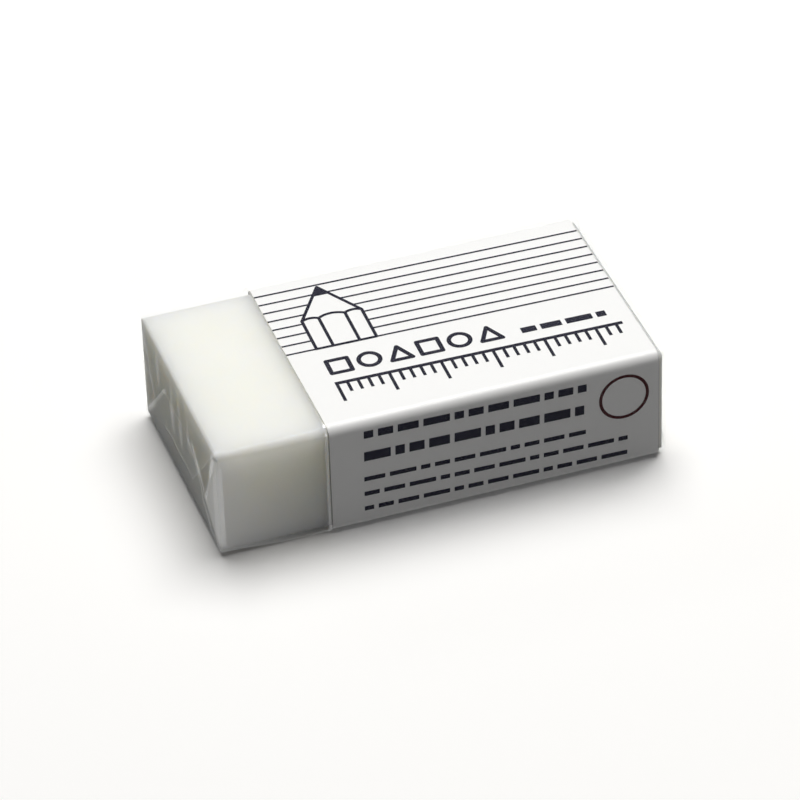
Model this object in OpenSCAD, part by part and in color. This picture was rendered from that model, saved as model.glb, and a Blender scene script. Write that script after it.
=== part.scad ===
// Block eraser in a folded card sleeve, sealed in clear film.
// X runs along the length, with the bare end at -X. -Y is the printed front and +Z is up.
// The origin is the middle of the face that the eraser lies on.

/* [Eraser block] */
// Length of the vinyl block
block_l = 43; // [36:0.5:60]
// Width of the vinyl block
block_w = 23.2; // [22:0.1:30]
// Height of the vinyl block
block_h = 11; // [9.5:0.1:15]
// Rounding of the four long edges
block_edge_r = 0.6; // [0.5:0.05:1]
// Rounding of the edges round each cut end
block_end_r = 0.25; // [0.15:0.05:0.5]

/* [Card sleeve] */
// Thickness of the card
card_t = 0.3; // [0.2:0.01:0.4]
// Play between the block and the card, on each side
sleeve_play = 0.05; // [0.02:0.01:0.15]
// Length of block that shows in front of the sleeve
bare_l = 10.6; // [6:0.1:16]
// Distance that the sleeve stops short of the block's far end
sleeve_inset = 0.5; // [0.5:0.05:1]
// Height of the glue flap inside the back
glue_flap_h = 6; // [4:0.1:7]
// Distance from the top fold down to the free edge of the back panel
free_edge_drop = 0.6; // [0.3:0.1:1.5]

/* [Ink] */
// Thickness of the ink
ink_t = 0.03; // [0.02:0.005:0.04]
// Turn of the print against the folds, in degrees
print_skew = 1.2; // [0:0.1:2]
// Bare card between the sleeve's left edge and the print
print_margin = 2.9; // [2:0.1:4]
// Bare card between the print and the sleeve's right edge
print_end = 1.2; // [1:0.05:2]

/* [Ruled lines] */
// Number of ruled lines on the top
line_count = 8; // [7:1:9]
// Distance from one line to the next
line_pitch = 1.39; // [1.25:0.01:1.5]
// Width of a ruled line
line_w = 0.19; // [0.1:0.01:0.3]
// Distance from the sleeve's back edge to the first line
line_margin = 2.3; // [1.8:0.1:3]

/* [Pencil point] */
// Width of the pencil
pencil_w = 5.8; // [4:0.1:7]
// Height of the pencil up to its cut shoulders
pencil_body_h = 4.6; // [3:0.1:5]
// Height of the cone above the shoulders
pencil_cone_h = 4.8; // [3:0.1:5]
// Height of the lead at the tip
pencil_lead_h = 1.35; // [0.8:0.05:2]
// Stroke of the drawing
pencil_stroke = 0.3; // [0.15:0.01:0.4]

/* [Shapes above the rule] */
// Number of outlined shapes
shape_count = 6; // [3:1:6]
// Width of one shape
shape_w = 2.4; // [1.8:0.1:2.6]
// Distance from one shape to the next
shape_pitch = 2.9; // [2.75:0.05:3.1]
// Stroke of the shapes
shape_stroke = 0.42; // [0.2:0.02:0.5]
// Distance from the last ruled line to the middle of the shapes
shape_drop = 3.15; // [2.9:0.05:3.4]

/* [Printed scale] */
// Distance from the last ruled line to the long rule
rule_drop = 5.7; // [5.2:0.1:6.2]
// Width of the long rule
rule_t = 0.4; // [0.2:0.05:0.6]
// Distance from one tick to the next
tick_pitch = 1; // [0.8:0.1:2]
// Length of a long tick
tick_h = 2.8; // [1.8:0.1:3.2]
// Length of a short tick
short_tick_h = 1.55; // [0.6:0.05:1.7]
// Width of a tick
tick_w = 0.3; // [0.15:0.01:0.4]

/* [Front print] */
// Bare card between the sleeve's left edge and the rows of bars
rows_margin = 3.3; // [2.5:0.1:4]
// Bare card between the long rows and the sleeve's right edge
rows_end = 2.2; // [1.5:0.05:3]
// Height of the bars in the heavy row
heavy_bar_h = 1; // [0.6:0.05:1.2]
// Height of the bars in the light rows
light_bar_h = 0.46; // [0.3:0.02:0.6]
// Outer diameter of the ring
ring_d = 4.9; // [4:0.1:5.4]
// Stroke of the ring
ring_stroke = 0.3; // [0.2:0.05:0.8]
// Bare card between the ring and the sleeve's right edge
ring_end = 1; // [0.6:0.1:2]
// Bare card between the ring and the rows beside it
ring_gap = 1.2; // [0.8:0.1:2]

/* [Film] */
// Thickness of the clear film
film_t = 0.04; // [0.03:0.005:0.06]
// Room between the card and the film, on each side
film_play = 0.06; // [0.05:0.01:0.12]
// How far the upper and the lower flap overlap on each end
flap_overlap = 3.6; // [1:0.1:5]
// Strip beside an end's fold on which one layer is sealed to the next
fold_land = 0.6; // [0.4:0.05:0.8]
// Width of the lapped seam along the back
seam_w = 5; // [3:0.1:7]
// Share of a layer's thickness that melts into the layer under it where film is sealed to film
seal_share = 0.25; // [0.1:0.05:0.4]

/* [Hidden] */
$fn = 48;

// Card: outer size of the sleeve, and the outer radius of its folds
fold_r = block_edge_r + sleeve_play + card_t;
sleeve_w = block_w + 2 * sleeve_play + 3 * card_t;
sleeve_h = block_h + 2 * sleeve_play + 2 * card_t;
sleeve_l = block_l - bare_l - sleeve_inset;

// Film: outer size of the tube, the radii of its edges, and the depth of an end flap
skin = film_play + film_t;
wrap_l = block_l + 2 * skin;
wrap_w = sleeve_w + 2 * skin;
wrap_h = sleeve_h + 2 * skin;
wrap_edge_r = fold_r + skin;
wrap_end_r = block_end_r + skin;
flap_l = (wrap_h + flap_overlap) / 2;
seal = seal_share * film_t;

// Places: the seam's lap stands proud of the back, so all else sits half a film to the front
centre_y = -film_t / 2;
front_y = centre_y - sleeve_w / 2;
back_y = centre_y + sleeve_w / 2;
sleeve_x = -block_l / 2 + bare_l;
sleeve_z = skin;
top_z = sleeve_z + sleeve_h;
block_y = front_y + card_t + sleeve_play + block_w / 2;
block_z = sleeve_z + card_t + sleeve_play;

// Top and front of the sleeve between their folds
top_panel_w = sleeve_w - card_t - 2 * fold_r;
front_panel_h = sleeve_h - 2 * fold_r;
print_l = sleeve_l - print_margin - print_end;

// Rectangle about the origin with round corners
module round_rect(w, h, r) {
  square([w - 2 * r, h], center = true);
  square([w, h - 2 * r], center = true);
  for (x = [-1, 1], y = [-1, 1])
    translate([x * (w / 2 - r), y * (h / 2 - r)]) circle(r);
}

// Block about the origin: edge_r rounds its long edges, and end_r the edges round its ends
module soft_block(l, w, h, edge_r, end_r) {
  intersection() {
    rotate([90, 0, 90]) linear_extrude(l, center = true) round_rect(w, h, edge_r);
    linear_extrude(h, center = true) round_rect(l, w, end_r);
    rotate([90, 0, 0]) linear_extrude(w, center = true) round_rect(l, h, end_r);
  }
}

// Stroke of width w from a to b, with round ends
module stroke(a, b, w) {
  d = b - a;
  translate(a) rotate(atan2(d.y, d.x)) translate([0, -w / 2]) square([norm(d), w]);
  translate(a) circle(w / 2);
  translate(b) circle(w / 2);
}

// Closed outline of width w through the points
module outline(points, w) {
  for (i = [0 : len(points) - 1])
    stroke(points[i], points[(i + 1) % len(points)], w);
}

// The white vinyl block
module eraser_block() {
  color("#F4F3EC")
    translate([0, block_y, block_z + block_h / 2])
      soft_block(block_l, block_w, block_h, block_edge_r, block_end_r);
}

// Folded corner of the card about the point p, in the quadrant that q points to
module fold(p, q) {
  translate(p) intersection() {
    difference() {
      circle(fold_r);
      circle(fold_r - card_t);
    }
    translate([min(q.x, 0), min(q.y, 0)] * fold_r) square(fold_r);
  }
}

// Section across the sleeve. The strip starts as the glue flap, runs over the top, down
// the front, under the bottom and up the back, where its free edge laps over the flap.
module sleeve_section() {
  lap_y = back_y - card_t;
  front_fold_y = front_y + fold_r;
  low_fold_z = sleeve_z + fold_r;
  high_fold_z = top_z - fold_r;
  translate([lap_y - card_t, high_fold_z - glue_flap_h]) square([card_t, glue_flap_h]);
  fold([lap_y - fold_r, high_fold_z], [1, 1]);
  translate([front_fold_y, top_z - card_t]) square([top_panel_w, card_t]);
  fold([front_fold_y, high_fold_z], [-1, 1]);
  translate([front_y, low_fold_z]) square([card_t, front_panel_h]);
  fold([front_fold_y, low_fold_z], [-1, -1]);
  translate([front_fold_y, sleeve_z]) square([top_panel_w + card_t, card_t]);
  fold([back_y - fold_r, low_fold_z], [1, -1]);
  translate([lap_y, low_fold_z]) square([card_t, front_panel_h - free_edge_drop]);
}

// The printed card, one strip folded round the block
module card_sleeve() {
  color("#FAFAFA")
    translate([sleeve_x, 0, 0])
      rotate([90, 0, 90]) linear_extrude(sleeve_l) sleeve_section();
}

// The drawings of the top are made with x along the print and y up from the last ruled
// line. The ruled lines overshoot, and are trimmed where the sleeve ends.
module ruled_lines() {
  for (i = [0 : line_count - 1])
    translate([-2 * print_margin, i * line_pitch - line_w / 2])
      square([sleeve_l + 2 * print_margin, line_w]);
}

// Corners of the pencil: feet, shoulders and tip
function pencil_points() = [
  [0, 0], [pencil_w, 0], [pencil_w, pencil_body_h],
  [pencil_w / 2, pencil_body_h + pencil_cone_h], [0, pencil_body_h]
];

// Scalloped edge that sharpening leaves on one side of the pencil, from x over width w
module scallop(x, w) {
  r = 0.9 * w;
  translate([x + w / 2, pencil_body_h - sqrt(r * r - w * w / 4)]) intersection() {
    difference() {
      circle(r + pencil_stroke / 2);
      circle(r - pencil_stroke / 2);
    }
    translate([-w / 2, 0]) square([w, 2 * r]);
  }
}

// Point of a six-sided pencil, of which three sides show
module pencil_drawing() {
  side_w = 0.28 * pencil_w;
  middle_w = pencil_w - 2 * side_w;
  tip = pencil_points()[3];
  lead_half = pencil_w / 2 * pencil_lead_h / pencil_cone_h;
  outline(pencil_points(), pencil_stroke);
  polygon([tip, tip + [lead_half, -pencil_lead_h], tip - [lead_half, pencil_lead_h]]);
  scallop(0, side_w);
  scallop(side_w, middle_w);
  scallop(side_w + middle_w, side_w);
  for (x = [side_w, side_w + middle_w])
    stroke([x, 0], [x, pencil_body_h], pencil_stroke);
}

// Row of outlined squares, rounds and triangles
module shapes_drawing() {
  half = (shape_w - shape_stroke) / 2;
  for (i = [0 : shape_count - 1])
    translate([i * shape_pitch + shape_w / 2, 0]) {
      if (i % 3 == 0)
        outline([[-half, -half], [half, -half], [half, half], [-half, half]], shape_stroke);
      if (i % 3 == 1)
        difference() {
          circle(shape_w / 2);
          circle(shape_w / 2 - shape_stroke);
        }
      if (i % 3 == 2)
        outline([[-half, -half], [half, -half], [0, half]], shape_stroke);
    }
}

// The long rule, with a scale of ticks hanging from it
module scale_drawing() {
  translate([0, -rule_t / 2]) square([print_l, rule_t]);
  for (i = [0 : floor((print_l - tick_w) / tick_pitch)]) {
    h = i % 5 == 0 ? tick_h : short_tick_h;
    translate([i * tick_pitch, -h]) square([tick_w, h]);
  }
}

// Length of bar i in a row, in a rhythm that s shifts
function bar_l(i, s) = 0.9 + (i * 5 + s) % 4 * 0.55;

// Row of bars of height h about y = 0 that fills the length l
module bar_row(l, h, s) {
  bar_gap = 0.45;
  shortest = 0.6;
  spans = [
    for (i = 0, x = 0; x < l - shortest; x = x + bar_l(i, s) + bar_gap, i = i + 1)
      [x, min(bar_l(i, s), l - x)]
  ];
  for (span = spans)
    translate([span[0], -h / 2]) square([span[1], h]);
}

// All that is printed on the top
module top_print() {
  last_line_y = back_y - line_margin - (line_count - 1) * line_pitch;
  shapes_l = shape_count * shape_pitch + shape_w / 2;
  intersection() {
    translate([0, front_y + fold_r]) square([sleeve_l, top_panel_w]);
    translate([print_margin, last_line_y]) rotate(-print_skew) {
      difference() {
        ruled_lines();
        polygon(pencil_points());
      }
      pencil_drawing();
      translate([0, -shape_drop]) shapes_drawing();
      translate([shapes_l, -shape_drop - shape_w / 4])
        bar_row(print_l - shapes_l, 0.8 * heavy_bar_h, 1);
      translate([0, -rule_drop]) scale_drawing();
    }
  }
}

// Rows of bars on the front: [place down the panel as a share of it, bar height, long row]
function front_rows() = [
  [0.05, 0.8 * heavy_bar_h, false],
  [0.3, heavy_bar_h, false],
  [0.56, light_bar_h, false],
  [0.73, light_bar_h, true],
  [0.9, light_bar_h, true]
];

// All that is printed on the front in dark ink, with y up from the panel's lower fold
module front_print() {
  long_l = sleeve_l - rows_margin - rows_end;
  short_l = sleeve_l - rows_margin - ring_end - ring_d - ring_gap;
  rows = front_rows();
  intersection() {
    square([sleeve_l, front_panel_h]);
    translate([rows_margin, front_panel_h]) rotate(-print_skew)
      for (i = [0 : len(rows) - 1])
        translate([0, -rows[i][0] * front_panel_h])
          bar_row(rows[i][2] ? long_l : short_l, rows[i][1], 3 * i);
  }
}

// Dark ink on the top and the front
module sleeve_print() {
  color("#34335C") {
    translate([sleeve_x, 0, top_z]) linear_extrude(ink_t) top_print();
    translate([sleeve_x, front_y, sleeve_z + fold_r])
      rotate([90, 0, 0]) linear_extrude(ink_t) front_print();
  }
}

// Dark red ring beside the rows of the front
module sleeve_ring() {
  ring_x = sleeve_x + sleeve_l - ring_end - ring_d / 2;
  ring_z = sleeve_z + fold_r + 0.7 * front_panel_h;
  color("#8C2B30")
    translate([ring_x, front_y, ring_z]) rotate([90, 0, 0]) linear_extrude(ink_t)
      difference() {
        circle(ring_d / 2);
        circle(ring_d / 2 - ring_stroke);
      }
}

// Flap folded down over an end from its upper edge, with sides at 45 degrees
module end_flap() {
  intersection() {
    round_rect(wrap_w - 2 * wrap_end_r, wrap_h - 2 * wrap_end_r, wrap_edge_r - wrap_end_r);
    polygon([
      [-wrap_w / 2, wrap_h / 2], [wrap_w / 2, wrap_h / 2],
      [wrap_w / 2 - flap_l, wrap_h / 2 - flap_l], [flap_l - wrap_w / 2, wrap_h / 2 - flap_l]
    ]);
  }
}

// Strip of the end's flat beside its upper fold
module fold_strip() {
  translate([-wrap_w / 2, wrap_h / 2 - wrap_end_r - fold_land])
    square([wrap_w, wrap_end_r + fold_land]);
}

// Layer of an end's flaps, n films thick, with its outer face k films out of the tube
module end_layer(k, n) {
  translate([-wrap_l / 2 - k * film_t, 0, 0])
    rotate([90, 0, 90]) linear_extrude(n * film_t + seal) children();
}

// Envelope fold of the -X end: the tube's own end holds the two side tucks, on which the
// upper flap lies, and the lower flap lies outermost
module end_flaps() {
  end_layer(1, 1) end_flap();
  end_layer(2, 1) mirror([0, 1]) end_flap();
  end_layer(2, 2) mirror([0, 1]) intersection() {
    end_flap();
    fold_strip();
  }
}

// Gap between the free edges of the two side tucks, through both ends of the tube
module tuck_gap() {
  cube([2 * wrap_l, wrap_w - 2 * flap_l, wrap_h - 2 * (wrap_end_r + fold_land)], center = true);
}

// The film: a tube closed at both ends by envelope folds and along the back by a lapped seam
module film_wrap() {
  inner = [wrap_l, wrap_w, wrap_h] - [1, 1, 1] * 2 * film_t;
  color("#DCE8F0", 0.35)
    translate([0, centre_y, wrap_h / 2]) {
      difference() {
        soft_block(wrap_l, wrap_w, wrap_h, wrap_edge_r, wrap_end_r);
        soft_block(inner.x, inner.y, inner.z, wrap_edge_r - film_t, wrap_end_r - film_t);
        tuck_gap();
      }
      for (side = [0, 1]) mirror([side, 0, 0]) end_flaps();
      translate([wrap_end_r - wrap_l / 2, wrap_w / 2 - seal, -seam_w / 2])
        cube([wrap_l - 2 * wrap_end_r, film_t + seal, seam_w]);
    }
}

eraser_block();
card_sleeve();
sleeve_print();
sleeve_ring();
film_wrap();
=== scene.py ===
import bpy
import bmesh
import math
from mathutils import Matrix, Vector, noise


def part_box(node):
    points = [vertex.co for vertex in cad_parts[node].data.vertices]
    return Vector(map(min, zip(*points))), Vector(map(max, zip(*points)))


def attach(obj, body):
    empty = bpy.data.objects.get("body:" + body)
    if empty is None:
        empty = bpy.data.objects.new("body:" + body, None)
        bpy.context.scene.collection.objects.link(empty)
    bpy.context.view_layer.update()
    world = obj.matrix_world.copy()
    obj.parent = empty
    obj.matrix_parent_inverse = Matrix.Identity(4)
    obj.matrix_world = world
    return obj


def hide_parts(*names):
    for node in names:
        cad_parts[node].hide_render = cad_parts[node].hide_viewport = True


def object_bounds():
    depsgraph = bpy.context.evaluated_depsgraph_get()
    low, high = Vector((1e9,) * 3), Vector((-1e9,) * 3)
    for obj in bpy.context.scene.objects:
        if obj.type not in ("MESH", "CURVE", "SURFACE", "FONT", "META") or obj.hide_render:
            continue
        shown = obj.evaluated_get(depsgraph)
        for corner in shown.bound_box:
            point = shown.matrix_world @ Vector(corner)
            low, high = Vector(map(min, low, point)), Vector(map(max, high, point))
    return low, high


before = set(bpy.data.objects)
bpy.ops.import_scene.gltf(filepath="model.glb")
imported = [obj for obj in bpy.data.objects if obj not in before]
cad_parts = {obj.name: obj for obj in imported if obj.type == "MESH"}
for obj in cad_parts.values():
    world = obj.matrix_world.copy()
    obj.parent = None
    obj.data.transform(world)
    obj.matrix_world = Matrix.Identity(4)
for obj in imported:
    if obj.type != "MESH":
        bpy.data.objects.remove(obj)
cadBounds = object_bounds()
mm = 0.001               # sizes below are in millimetres
print("frame loaded")


# ---- camera ----

camera = dict(aim=(-0.80, -2.07, 5.50), azimuth=-17.96, elevation=36.68, roll=-1.97,
              distance=462.6, lens=224.63)


def toward(azimuth, elevation):
    # unit vector from the object to a viewer or a lamp; azimuth 0 is the front
    a, e = math.radians(azimuth), math.radians(elevation)
    return Vector((math.sin(a) * math.cos(e), -math.cos(a) * math.cos(e), math.sin(e)))


def placeCamera(spec):
    data = bpy.data.cameras.new("camera")
    data.lens = spec["lens"]
    data.clip_start, data.clip_end = 0.01, 20
    obj = bpy.data.objects.new("camera", data)
    back = toward(spec["azimuth"], spec["elevation"])
    turn = back.to_track_quat("Z", "Y").to_matrix().to_4x4()
    roll = Matrix.Rotation(math.radians(spec["roll"]), 4, "Z")
    spot = (Vector(spec["aim"]) + back * spec["distance"]) * mm
    obj.matrix_world = Matrix.Translation(spot) @ turn @ roll
    bpy.context.scene.collection.objects.link(obj)
    bpy.context.scene.camera = obj


placeCamera(camera)
print("camera placed")


# ---- helpers for materials ----

def newMaterial(name):
    mat = bpy.data.materials.new(name)
    mat.use_nodes = True
    mat.node_tree.nodes.clear()
    return mat, mat.node_tree


def addNode(tree, kind, links=None, **settings):
    # links: input name or number -> value, or the socket that feeds it
    node = tree.nodes.new(kind)
    for key, value in settings.items():
        setattr(node, key, value)
    for key, value in (links or {}).items():
        if isinstance(value, bpy.types.NodeSocket):
            tree.links.new(value, node.inputs[key])
        else:
            node.inputs[key].default_value = value
    return node


def calc(tree, operation, a, b=0.0):
    return addNode(tree, "ShaderNodeMath", {0: a, 1: b}, operation=operation).outputs[0]


def blendColour(tree, share, a, b):
    return addNode(tree, "ShaderNodeMix", {0: share, 6: a, 7: b}, data_type="RGBA").outputs[2]


def remap(tree, value, low, high):
    return addNode(tree, "ShaderNodeMapRange", {0: value, 3: low, 4: high}).outputs[0]


def finishSurface(tree, shader):
    out = addNode(tree, "ShaderNodeOutputMaterial")
    tree.links.new(shader, out.inputs["Surface"])


def dress(node, mat):
    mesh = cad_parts[node].data
    mesh.materials.clear()
    mesh.materials.append(mat)


def makeGrainGroup():
    # cloudy and fine variation over the surface, in millimetres of object space
    tree = bpy.data.node_groups.new("grain", "ShaderNodeTree")
    for name in ("Cloud Size", "Grain Size"):
        tree.interface.new_socket(name, in_out="INPUT", socket_type="NodeSocketFloat")
    for name in ("Cloud", "Grain"):
        tree.interface.new_socket(name, in_out="OUTPUT", socket_type="NodeSocketFloat")
    given = addNode(tree, "NodeGroupInput")
    coords = addNode(tree, "ShaderNodeTexCoord")
    place = addNode(tree, "ShaderNodeMapping", {0: coords.outputs["Object"], "Scale": (1000, 1000, 1000)})
    cloud = addNode(tree, "ShaderNodeTexNoise", {
        "Vector": place.outputs[0], "Scale": given.outputs[0], "Detail": 3.0})
    grain = addNode(tree, "ShaderNodeTexNoise", {
        "Vector": place.outputs[0], "Scale": given.outputs[1], "Detail": 4.0})
    strongCloud = remap(tree, cloud.outputs[0], -0.6, 1.6)      # noise stays near its middle, so it is spread
    addNode(tree, "NodeGroupOutput", {0: strongCloud, 1: grain.outputs[0]})
    return tree


grainGroup = makeGrainGroup()


def grainNode(tree, cloudSize, grainSize):
    node = tree.nodes.new("ShaderNodeGroup")
    node.node_tree = grainGroup
    node.inputs["Cloud Size"].default_value = cloudSize
    node.inputs["Grain Size"].default_value = grainSize
    return node.outputs["Cloud"], node.outputs["Grain"]


def objectAxis(tree, axis):
    coords = addNode(tree, "ShaderNodeTexCoord")
    split = addNode(tree, "ShaderNodeSeparateXYZ", {0: coords.outputs["Object"]})
    return calc(tree, "MULTIPLY", split.outputs[axis], 1000.0)


# ---- vinyl block ----

# sizes in mm, noise sizes per mm; streaks are the saw's marks across the two ends
vinyl = dict(light=(0.975, 0.953, 0.862, 1), dull=(0.955, 0.928, 0.822, 1), rough=(0.60, 0.76), shine=0.2,
             cloudSize=0.18, grainSize=3.0, streaks=(100, 4200, 260), cutDepth=0.1,
             bump=0.004, bumpStrength=0.4, glow=6.0, glowColours=(1.0, 0.94, 0.82),
             endGlow=0.7, endGlowFrom=1.6, endGlowTo=0.2)


def vinylMaterial(spec):
    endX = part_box("eraser_block")[1].x / mm
    mat, tree = newMaterial("whiteVinyl")
    cloud, grain = grainNode(tree, spec["cloudSize"], spec["grainSize"])
    coords = addNode(tree, "ShaderNodeTexCoord")
    streaks = addNode(tree, "ShaderNodeMapping", {0: coords.outputs["Object"], "Scale": spec["streaks"]})
    sawn = addNode(tree, "ShaderNodeTexNoise", {"Vector": streaks.outputs[0], "Scale": 1.0, "Detail": 2.0})
    fromMiddle = calc(tree, "ABSOLUTE", objectAxis(tree, 0))
    cut = calc(tree, "GREATER_THAN", fromMiddle, endX - spec["cutDepth"])     # only the two sawn ends
    height = calc(tree, "ADD", grain, calc(tree, "MULTIPLY", cut, sawn.outputs[0]))
    bump = addNode(tree, "ShaderNodeBump", {
        "Height": height, "Strength": spec["bumpStrength"], "Distance": spec["bump"] * mm})
    nearEnd = addNode(tree, "ShaderNodeMapRange", {
        0: fromMiddle, 1: endX - spec["endGlowFrom"], 2: endX - spec["endGlowTo"],
        3: 1.0, 4: spec["endGlow"]})
    glow = calc(tree, "MULTIPLY", nearEnd.outputs[0], spec["glow"] * mm)
    skin = addNode(tree, "ShaderNodeBsdfPrincipled", {
        "Base Color": blendColour(tree, cloud, spec["light"], spec["dull"]),
        "Roughness": remap(tree, grain, *spec["rough"]), "Normal": bump.outputs[0],
        "Specular IOR Level": spec["shine"], "Subsurface Weight": 1.0,
        "Subsurface Radius": spec["glowColours"], "Subsurface Scale": glow})
    finishSurface(tree, skin.outputs[0])
    return mat


dress("eraser_block", vinylMaterial(vinyl))
print("vinyl done")


# ---- card sleeve ----

# the cut edges of the card show its grey core, darkened further with painted shade standing for the gap at
# the card's edge, and painted pale along the top panel as painted light where the lamp falls on it
card = dict(white=(0.895, 0.895, 0.898, 1), coreWithPaintedShade=(0.24, 0.225, 0.21, 1), paintedLitCore=(0.88, 0.87, 0.85, 1),
            edge=0.03, topDepth=0.4, rough=(0.34, 0.46), cloudSize=0.5, grainSize=2.2,
            bump=0.004, bumpStrength=0.2)


def cardMaterial(spec):
    low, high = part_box("card_sleeve")
    mat, tree = newMaterial("coatedCard")
    grain = grainNode(tree, spec["cloudSize"], spec["grainSize"])[1]
    along = objectAxis(tree, 0)
    leftCut = calc(tree, "LESS_THAN", along, low.x / mm + spec["edge"])
    rightCut = calc(tree, "GREATER_THAN", along, high.x / mm - spec["edge"])
    cut = calc(tree, "MAXIMUM", leftCut, rightCut)
    # painted light on the cut edges: pale along the top panel as if lit, dark painted shade everywhere below
    # it
    paintedLitTop = calc(tree, "GREATER_THAN", objectAxis(tree, 2), high.z / mm - spec["topDepth"])
    coreWithPaintedShade = blendColour(tree, paintedLitTop, spec["coreWithPaintedShade"], spec["paintedLitCore"])
    bump = addNode(tree, "ShaderNodeBump", {
        "Height": grain, "Strength": spec["bumpStrength"], "Distance": spec["bump"] * mm})
    skin = addNode(tree, "ShaderNodeBsdfPrincipled", {
        "Base Color": blendColour(tree, cut, spec["white"], coreWithPaintedShade),
        "Roughness": remap(tree, grain, *spec["rough"]), "Normal": bump.outputs[0]})
    finishSurface(tree, skin.outputs[0])
    return mat


dress("card_sleeve", cardMaterial(card))
print("card done")


# ---- ink ----

darkInk = dict(solid=(0.004, 0.004, 0.012, 1), thin=(0.009, 0.009, 0.024, 1), rough=0.5, shine=0.08,
               cloudSize=0.6, grainSize=4.0)
redInk = dict(solid=(0.040, 0.005, 0.007, 1), thin=(0.065, 0.009, 0.012, 1), rough=0.5, shine=0.08,
              cloudSize=0.6, grainSize=4.0)


def inkMaterial(name, spec):
    mat, tree = newMaterial(name)
    grain = grainNode(tree, spec["cloudSize"], spec["grainSize"])[1]
    skin = addNode(tree, "ShaderNodeBsdfPrincipled", {
        "Base Color": blendColour(tree, grain, spec["solid"], spec["thin"]), "Roughness": spec["rough"],
        "Specular IOR Level": spec["shine"]})
    finishSurface(tree, skin.outputs[0])
    return mat


dress("sleeve_print", inkMaterial("darkInk", darkInk))
dress("sleeve_ring", inkMaterial("redInk", redInk))
print("ink done")


# ---- clear film ----

# straightOn, grazing and crease are shares of gloss over clear
filmLook = dict(tint=(0.997, 0.998, 0.997, 1), rough=0.08, creaseRough=0.30,
                straightOn=0.004, grazing=0.016, crease=0.42,
                ripple=0.02, rippleSize=0.55, rippleStrength=0.5)


def filmMaterial(spec):
    mat, tree = newMaterial("clearFilm")
    coords = addNode(tree, "ShaderNodeTexCoord")
    place = addNode(tree, "ShaderNodeMapping", {0: coords.outputs["Object"], "Scale": (1000, 1000, 1000)})
    waves = addNode(tree, "ShaderNodeTexNoise", {
        "Vector": place.outputs[0], "Scale": spec["rippleSize"], "Detail": 3.0, "Roughness": 0.45})
    bump = addNode(tree, "ShaderNodeBump", {
        "Height": waves.outputs[0], "Strength": spec["rippleStrength"], "Distance": spec["ripple"] * mm})
    creased = addNode(tree, "ShaderNodeAttribute", attribute_name="crease").outputs["Fac"]
    facing = addNode(tree, "ShaderNodeLayerWeight", {"Blend": 0.5, "Normal": bump.outputs[0]})
    steep = calc(tree, "POWER", facing.outputs["Facing"], 4.0)
    smooth = remap(tree, steep, spec["straightOn"], spec["grazing"])
    share = calc(tree, "ADD", smooth, calc(tree, "MULTIPLY", creased, spec["crease"]))
    clear = addNode(tree, "ShaderNodeBsdfTransparent", {"Color": spec["tint"]})
    shine = addNode(tree, "ShaderNodeBsdfGlossy", {
        "Color": (1, 1, 1, 1), "Normal": bump.outputs[0],
        "Roughness": remap(tree, creased, spec["rough"], spec["creaseRough"])})
    mix = addNode(tree, "ShaderNodeMixShader", {0: share, 1: clear.outputs[0], 2: shine.outputs[0]})
    finishSurface(tree, mix.outputs[0])
    return mat


clearFilm = filmMaterial(filmLook)


def boxOf(node):
    low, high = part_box(node)
    return [c / mm for c in low], [c / mm for c in high]


def mixed(a, b, t):
    return a + (b - a) * t


def eased(t):
    t = min(max(t, 0.0), 1.0)
    return t * t * (3 - 2 * t)


def ridge(y, z, line):
    # how near a point is to a crease line: 1 at its middle, less towards its two ends and beside it
    (ay, az), (by, bz) = line[:2]
    width = line[3]
    dy, dz = by - ay, bz - az
    t = min(max(((y - ay) * dy + (z - az) * dz) / (dy * dy + dz * dz), 0.0), 1.0)
    away = math.hypot(y - ay - t * dy, z - az - t * dz)
    return math.exp(-(away / width) ** 2) * (0.45 + 0.55 * math.sin(math.pi * (0.1 + 0.8 * t)))


def ripple(x, y, z, size):
    return noise.noise(Vector((x, y, z)) / size)


def addSheet(shape, columns, rows, place):
    # a flat grid laid over the object by place(u, v), which gives a point in mm and its crease value
    crease = shape.verts.layers.float.get("crease") or shape.verts.layers.float.new("crease")
    for vert in bmesh.ops.create_grid(shape, x_segments=columns, y_segments=rows, size=0.5)["verts"]:
        point, mark = place(vert.co.x + 0.5, vert.co.y + 0.5)
        vert.co = Vector(point) * mm
        vert[crease] = mark


def finishSheet(name, shape, thickness):
    # thickness is laid inwards, or outwards where it is below zero
    middle = Vector((0, 0, (cadBounds[0][2] + cadBounds[1][2]) / 2))
    shape.normal_update()
    wrong = [f for f in shape.faces if f.normal.dot(f.calc_center_median() - middle) < 0]
    if len(wrong) > len(shape.faces) / 2:
        bmesh.ops.reverse_faces(shape, faces=shape.faces[:])
    bmesh.ops.solidify(shape, geom=shape.faces[:], thickness=thickness * mm)
    if thickness < 0:      # a sheet that grows outwards comes out inside out
        bmesh.ops.reverse_faces(shape, faces=shape.faces[:])
    mesh = bpy.data.meshes.new(name)
    shape.to_mesh(mesh)
    shape.free()
    mesh.shade_smooth()
    mesh.set_sharp_from_angle(angle=math.radians(40))
    mesh.materials.append(clearFilm)
    piece = bpy.data.objects.new(name, mesh)
    bpy.context.scene.collection.objects.link(piece)
    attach(piece, "root")
    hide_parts("film_wrap")


filmLow, filmHigh = boxOf("film_wrap")
blockLow, blockHigh = boxOf("eraser_block")
sleeveLow = boxOf("card_sleeve")[0]

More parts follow.
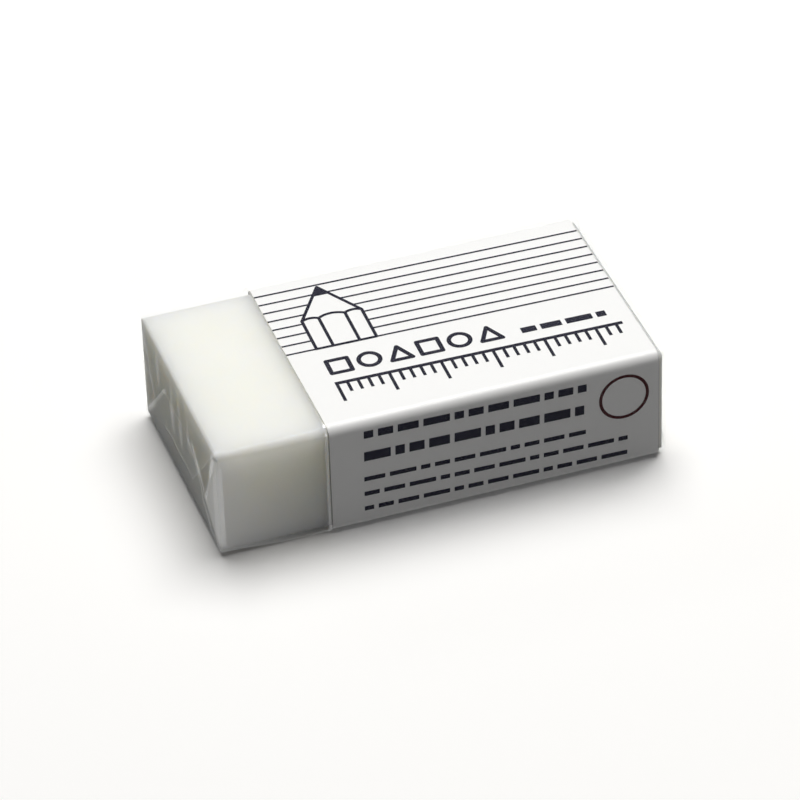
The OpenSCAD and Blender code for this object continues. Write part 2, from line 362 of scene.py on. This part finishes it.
# lengths in mm; bridge is the fullness just past the card's edge, loose and the marks are crease values
tube = dict(thick=0.03, inset=0.025, blockGap=0.05, filmRadius=1.03, blockRadius=0.45, least=0.3,
            endRadius=0.32, lip=0.9, leftEnd=0.05, rightEnd=0.22,
            seam=5.0, seamRise=0.045, seamMark=0.05, seamEdgeMark=0.4,
            edgeLift=0.04, edgeSpot=0.26, edgeWidth=0.12, edgeMark=0.3,
            bridge=0.55, bridgeRun=0.9, tighten=0.8, loose=0.33, lowerMark=0.16,
            ripple=0.05, rippleOnCard=0.012, rippleSize=4.5, rippleMiddle=0.45,
            rippleLeast=-0.02, rippleAtEnd=0.3)

# columns round the section, from the back's upper half over the top, the front and the bottom to the
# back's lower half, with each corner between them
tubeColumns = (12, 7, 62, 7, 24, 7, 40, 7, 12)
leftX, rightX = blockLow[0] - tube["leftEnd"], blockHigh[0] + tube["rightEnd"]


def sectionBox(low, high, outward):
    # y and z limits of a box, moved outward by a distance in mm
    return low[1] - outward, low[2] - outward, high[1] + outward, high[2] + outward


fullBox = sectionBox(filmLow, filmHigh, -tube["inset"])
snugBox = sectionBox(blockLow, blockHigh, tube["blockGap"])


def bareRun(x):
    # 0 at the card's left edge, 1 at the film's left end
    return (sleeveLow[0] - x) / (sleeveLow[0] - leftX)


def fullness(x):
    # 1 where the film lies on the sleeve, 0 where it reaches the bare end of the block
    run = bareRun(x)
    if run <= 0:
        return 1.0
    if run >= 1:
        return 0.0
    bridged = mixed(1.0, tube["bridge"], eased((sleeveLow[0] - x) / tube["bridgeRun"]))
    return bridged * (1 - run) ** tube["tighten"]


def sectionAt(x, inset=0.0):
    w = fullness(x)
    y0, z0, y1, z1 = (mixed(a, b, w) for a, b in zip(snugBox, fullBox))
    if x < sleeveLow[0]:      # under the bare end the film stays low until it nears the fold
        z0 = mixed(fullBox[1], snugBox[1], eased(bareRun(x)) ** 2)
    r = mixed(tube["blockRadius"], tube["filmRadius"], w)
    return y0 + inset, z0 + inset, y1 - inset, z1 - inset, max(r - inset, tube["least"])


def roundSection(part, t, y0, z0, y1, z1, r):
    # a point and its outward direction on the film's section; it starts and ends on the back
    zm, half = (z0 + z1) / 2, tube["seam"] / 2
    corners = {1: (y1 - r, z1 - r, 0), 3: (y0 + r, z1 - r, 90),
               5: (y0 + r, z0 + r, 180), 7: (y1 - r, z0 + r, 270)}
    if part in corners:
        cy, cz, start = corners[part]
        a = math.radians(start + 90 * t)
        return cy + r * math.cos(a), cz + r * math.sin(a), math.cos(a), math.sin(a)
    if part == 0:
        return y1, mixed(zm - half, z1 - r, t), 1, 0
    if part == 2:
        return mixed(y1 - r, y0 + r, t), z1, 0, 1
    if part == 4:
        return y0, mixed(z1 - r, z0 + r, t), -1, 0
    if part == 6:
        return mixed(y0 + r, y1 - r, t), z0, 0, -1
    return y1, mixed(z0 + r, zm + half, t), 1, 0


def tubeStations():
    # rows along the film: (x, inset), from the left lip round the end, along and round the right end
    r, lip = tube["endRadius"], tube["lip"]
    angles = [math.radians(a) for a in (15, 30, 45, 60, 75, 90)]
    turn = [(r * math.sin(a) - r, r * (1 - math.cos(a))) for a in angles]
    ends = turn + [(0, r + lip * t) for t in (0.5, 1.0)]
    edge, left, right = sleeveLow[0], leftX + r, rightX - r
    rows = [(leftX - x, inset) for x, inset in reversed(ends)]
    rows += [(mixed(left, edge - 1.2, t / 18), 0.0) for t in range(18)]
    rows += [(edge - 1.2 + 1.5 * t / 12, 0.0) for t in range(12)]
    rows += [(mixed(edge + 0.3, right, t / 62), 0.0) for t in range(63)]
    return rows + [(rightX + x, inset) for x, inset in ends]


stations = tubeStations()


def tubePoint(u, v):
    column = round(u * sum(tubeColumns))
    part = 0
    while part < 8 and column > tubeColumns[part]:
        column -= tubeColumns[part]
        part += 1
    t = column / tubeColumns[part]
    if part == 8:
        t = 1 - (1 - t) ** 2      # finer steps towards the seam's free edge
    x, inset = stations[round(v * (len(stations) - 1))]
    y0, z0, y1, z1, r = sectionAt(x, inset)
    y, z, ny, nz = roundSection(part, t, y0, z0, y1, z1, r)
    lift, mark = 0.0, 0.0
    if part == 8:     # the outer layer of the back seam
        seamLow = (z0 + z1 - tube["seam"]) / 2
        lift += tube["seamRise"] * eased((z - seamLow + 1.0) / 1.0)
        toEdge = seamLow + tube["seam"] - z
        mark = tube["seamMark"] * eased((z - seamLow) / 0.2)
        mark += tube["seamEdgeMark"] * math.exp(-(toEdge / tube["edgeWidth"]) ** 2)
    onSleeve = eased((x - sleeveLow[0] + 0.5) / 1.0)
    if part in (4, 5) and x < sleeveLow[0]:     # looser towards the bare end's front corner
        mark = tube["loose"] * bareRun(x) * mixed(0.6, 1.0, z / z1)
    if part == 5:     # pale line along the lower front edge
        mark = max(mark, mixed(tube["lowerMark"], 0.0, onSleeve) * math.sin(math.pi * t) ** 2)
    # the film steps up just before the card's left edge
    edge = math.exp(-((x - sleeveLow[0] + tube["edgeSpot"]) / tube["edgeWidth"]) ** 2)
    lift += tube["edgeLift"] * edge * (1 - 0.7 * math.sin(math.pi * t) if part % 2 else 1)
    if part != 6:     # ripples everywhere but underneath, weaker round the ends
        height = mixed(tube["ripple"], tube["rippleOnCard"], onSleeve)
        wave = max(height * (ripple(x, y, z, tube["rippleSize"]) + tube["rippleMiddle"]), tube["rippleLeast"])
        lift += wave * (1 if inset == 0 else tube["rippleAtEnd"])
    z = max(z + nz * lift, tube["thick"] + 0.002)      # the thickness under it stays above the floor
    return (x, y + ny * lift, z), max(mark, tube["edgeMark"] * edge)


def buildTube():
    shape = bmesh.new()
    addSheet(shape, sum(tubeColumns), len(stations) - 1, tubePoint)
    finishSheet("film_tube", shape, -tube["thick"])


buildTube()
print("film tube done")


# ---- folded film ends ----

# firstLayer and layerStep set how far out each layer lies, and slant is how fast a flap narrows
endFold = dict(thick=0.03, flap=7.75, start=0.25, firstLayer=0.012, layerStep=0.036, slant=0.93, narrow=0.4,
               tuckPast=0.6, tuckInset=0.75, foldRoll=0.07, rollWidth=0.22, freeCurl=0.08, curlRun=0.45,
               slack=0.08, slackSize=3.2, wearSize=1.3, rimRun=1.2, foldWidth=0.35, backFold=0.3,
               freeMark=0.22, freeWidth=0.2, facetLift=0.08, facetMark=0.33,
               facet=[((-12.3, 0.9), (-8.0, 4.4)), ((-8.0, 4.4), (-9.1, 6.0)), ((-9.1, 6.0), (-11.6, 11.8))])
# (start, end, height, width, brightness) of each crease, as (y, z) on the end
leftCreases = [
    ((-11.8, 1.2), (-8.0, 4.4), 0.10, 0.40, 0.5),
    ((-8.1, 4.2), (-9.3, 6.0), 0.06, 0.50, 1.0),
    ((-9.3, 6.0), (-11.6, 11.8), 0.06, 0.50, 1.0),
    ((-8.1, 4.2), (-4.8, 7.7), 0.04, 0.45, 1.0),
    ((11.2, 0.6), (7.4, 4.6), 0.13, 0.40, 0.3),
    ((7.4, 4.6), (10.2, 10.9), 0.13, 0.40, 0.4),
    ((8.9, 6.8), (11.0, 5.9), 0.09, 0.30, 0.3),
    ((-10.9, 8.8), (-8.9, 6.2), 0.06, 0.25, 0.2),
    ((6.2, 10.8), (5.8, 7.6), 0.06, 0.60, 0.16),
    ((1.7, 10.4), (1.4, 5.6), 0.06, 0.75, 0.20),
    ((-0.7, 10.8), (-1.0, 5.2), 0.06, 0.70, 0.16),
    ((-3.3, 10.4), (-3.7, 6.4), 0.06, 0.60, 0.22),
    ((3.2, 8.6), (4.6, 7.4), 0.06, 0.22, 0.3),
    ((11.3, 0.5), (10.9, 1.3), 0.25, 0.45, 0.6),
]
rightCreases = [
    ((-11.6, 0.6), (-8.3, 3.9), 0.12, 0.30, 0.6),
    ((-8.3, 3.9), (-10.9, 10.8), 0.13, 0.32, 0.8),
    ((11.6, 0.7), (8.0, 4.2), 0.14, 0.32, 0.7),
    ((8.0, 4.2), (10.6, 11.0), 0.12, 0.30, 0.8),
    ((-2.6, 11.0), (-3.9, 8.2), 0.05, 0.30, 0.2),
    ((5.0, 1.0), (4.4, 3.3), 0.05, 0.30, 0.2),
]


def beyond(y, z, line):
    # signed distance to the right of a line that runs from its first point to its second
    (ay, az), (by, bz) = line
    return ((z - az) * (by - ay) - (y - ay) * (bz - az)) / math.hypot(by - ay, bz - az)


def buildEnd(name, side, creases, seed):
    # side is -1 for the left end and 1 for the right
    # each layer is laid over the last: both tucks, the upper flap, the lower flap
    x = leftX + tube["endRadius"] if side < 0 else rightX - tube["endRadius"]
    y0, z0, y1, z1 = sectionAt(x)[:4]
    turn, flap = tube["endRadius"], endFold["flap"]
    shape = bmesh.new()

    def outward(y, z):
        total = endFold["slack"] * (ripple(seed, y, z, endFold["slackSize"]) + 0.5)
        mark = 0.0
        for line in creases:
            near = ridge(y, z, line)
            total += line[2] * near
            wear = ripple(seed, y, z, endFold["wearSize"]) + 0.6      # uneven along its length
            worn = mixed(0.4, 1.0, eased(wear))
            mark = max(mark, near ** 2 * worn * line[4])
        if side < 0:      # loose film beside the front corner stands off as a pale facet
            facet = min(eased(beyond(y, z, line) / 0.5 + 0.5) for line in endFold["facet"])
            total += endFold["facetLift"] * facet
            mark = max(mark, endFold["facetMark"] * facet)
        rim = min(y - y0, y1 - y, z - z0, z1 - z)      # calm at the rim of the end
        return total * eased(rim / endFold["rimRun"]), mark

    def onEnd(layer, across, run, vertical, fromHigh):
        # across is the place along the edge that the sheet comes over, run the distance over the edge
        rise = endFold["firstLayer"] + layer * endFold["layerStep"]
        radius = turn + rise
        arc = radius * math.pi / 2
        if run < endFold["start"]:
            out, inset = -(endFold["start"] - run), -rise
        elif run < endFold["start"] + arc:
            a = (run - endFold["start"]) / radius
            out, inset = radius * math.sin(a), turn - radius * math.cos(a)
        else:
            out, inset = radius, turn + run - endFold["start"] - arc
        if vertical:
            y, z = across, (z1 - inset if fromHigh else max(z0 + inset, 0.001))
        else:
            y, z = (y1 - inset if fromHigh else y0 + inset), across
        lift, mark = outward(y, z)
        return [x + side * (out + lift * eased((inset - 0.2) / 1.0)), y, z], mark, inset

    def tuck(fromHigh):

        def place(u, v):
            across = mixed(z0 + endFold["tuckInset"], z1 - endFold["tuckInset"], u)
            return onEnd(0, across, v * (flap + endFold["tuckPast"]), False, fromHigh)[:2]

        addSheet(shape, 46, 36, place)

    def leaf(layer, fromHigh, foldMark):
        total = endFold["start"] + (turn + 0.1) * math.pi / 2 + flap - turn

        def place(u, v):
            run = v * total
            reach = max(run - endFold["start"] - 0.5, 0.0)
            half = (y1 - y0) / 2 - endFold["narrow"] - endFold["slant"] * reach
            across = (y0 + y1) / 2 + (2 * u - 1) * half
            point, mark, inset = onEnd(layer, across, run, True, fromHigh)
            toFold = (1 - abs(2 * u - 1)) * half * 0.7
            toFree = (1 - v) * total
            roll = endFold["foldRoll"] * math.exp(-(toFold / endFold["rollWidth"]) ** 2)
            curl = endFold["freeCurl"] * math.exp(-toFree / endFold["curlRun"])
            shown = eased((inset - 0.5) / 1.0)
            point[0] += side * shown * (roll + curl * (0.6 + ripple(seed, across, run, 2.0)))
            away = 1.0 if across < 0 else endFold["backFold"]      # fainter on the back's side
            foldLine = foldMark * away * math.exp(-(toFold / endFold["foldWidth"]) ** 2) * shown
            freeLine = endFold["freeMark"] * math.exp(-(toFree / endFold["freeWidth"]) ** 2)
            return point, max(mark, foldLine, freeLine)

        addSheet(shape, 96, 40, place)

    tuck(False)
    tuck(True)
    leaf(1, True, 0.12)      # only faint, as the lower flap lies over it
    leaf(2, False, 0.7)
    finishSheet(name, shape, endFold["thick"])


buildEnd("film_end_left", -1, leftCreases, 3.7)
buildEnd("film_end_right", 1, rightCreases, 11.2)
print("film ends done")


# ---- floor and light ----

# the floor and the world look white but throw little light back on the object
studio = dict(floorSeen=(1.0, 1.0, 1.0, 1), floorBounce=(0.18, 0.18, 0.18, 1), floorGlow=0.7,
              world=0.06, worldSeen=1.0)


def seenRay(tree):
    path = addNode(tree, "ShaderNodeLightPath")
    direct = calc(tree, "MAXIMUM", path.outputs["Is Camera Ray"], path.outputs["Is Glossy Ray"])
    return calc(tree, "MAXIMUM", direct, path.outputs["Is Transmission Ray"])


def makeFloor(spec):
    shape = bmesh.new()
    bmesh.ops.create_grid(shape, x_segments=1, y_segments=1, size=3)
    mesh = bpy.data.meshes.new("floor")
    shape.to_mesh(mesh)
    shape.free()
    mat, tree = newMaterial("paleFloor")
    tint = blendColour(tree, seenRay(tree), spec["floorBounce"], spec["floorSeen"])
    matt = addNode(tree, "ShaderNodeBsdfDiffuse", {"Color": tint})
    glow = addNode(tree, "ShaderNodeEmission", {"Color": spec["floorSeen"], "Strength": spec["floorGlow"]})
    mirrored = addNode(tree, "ShaderNodeLightPath").outputs["Is Glossy Ray"]
    mix = addNode(tree, "ShaderNodeMixShader", {0: mirrored, 1: matt.outputs[0], 2: glow.outputs[0]})
    finishSurface(tree, mix.outputs[0])
    mesh.materials.append(mat)
    floor = bpy.data.objects.new("floor", mesh)
    bpy.context.scene.collection.objects.link(floor)


def makeWorld(spec):
    world = bpy.data.worlds.new("studio")
    bpy.context.scene.world = world
    world.use_nodes = True
    tree = world.node_tree
    tree.nodes.clear()
    level = remap(tree, seenRay(tree), spec["world"], spec["worldSeen"])
    sky = addNode(tree, "ShaderNodeBackground", {"Color": (1, 1, 1, 1), "Strength": level})
    out = addNode(tree, "ShaderNodeOutputWorld")
    tree.links.new(sky.outputs[0], out.inputs["Surface"])


lamps = [
    dict(name="overhead", azimuth=148, elevation=71, distance=800,
         size=(660, 600), watts=7.4, colour=(1, 0.99, 0.97)),
    dict(name="backStrip", azimuth=-150, elevation=28, distance=600,
         size=(300, 10), watts=0.12, colour=(0.97, 0.98, 1)),
    dict(name="sideStrip", azimuth=-88, elevation=18, distance=600,
         size=(8, 180), watts=0.04, colour=(0.97, 0.98, 1)),
    dict(name="frontFill", azimuth=-8, elevation=18, distance=600,
         size=(140, 200), watts=0.225, colour=(1, 0.978, 0.96)),
]


def placeLamp(spec):
    data = bpy.data.lights.new(spec["name"], "AREA")
    data.shape = "RECTANGLE"
    data.size, data.size_y = spec["size"][0] * mm, spec["size"][1] * mm
    data.energy = spec["watts"]
    data.color = spec["colour"]
    obj = bpy.data.objects.new(spec["name"], data)
    back = toward(spec["azimuth"], spec["elevation"])
    turn = back.to_track_quat("Z", "Y").to_matrix().to_4x4()
    obj.matrix_world = Matrix.Translation(back * spec["distance"] * mm) @ turn
    bpy.context.scene.collection.objects.link(obj)


makeFloor(studio)
makeWorld(studio)
for lamp in lamps:
    placeLamp(lamp)
bpy.context.scene.view_settings.view_transform = "Standard"
bpy.context.scene.cycles.transparent_max_bounces = 32      # the folded end is several layers deep
print("stage done")
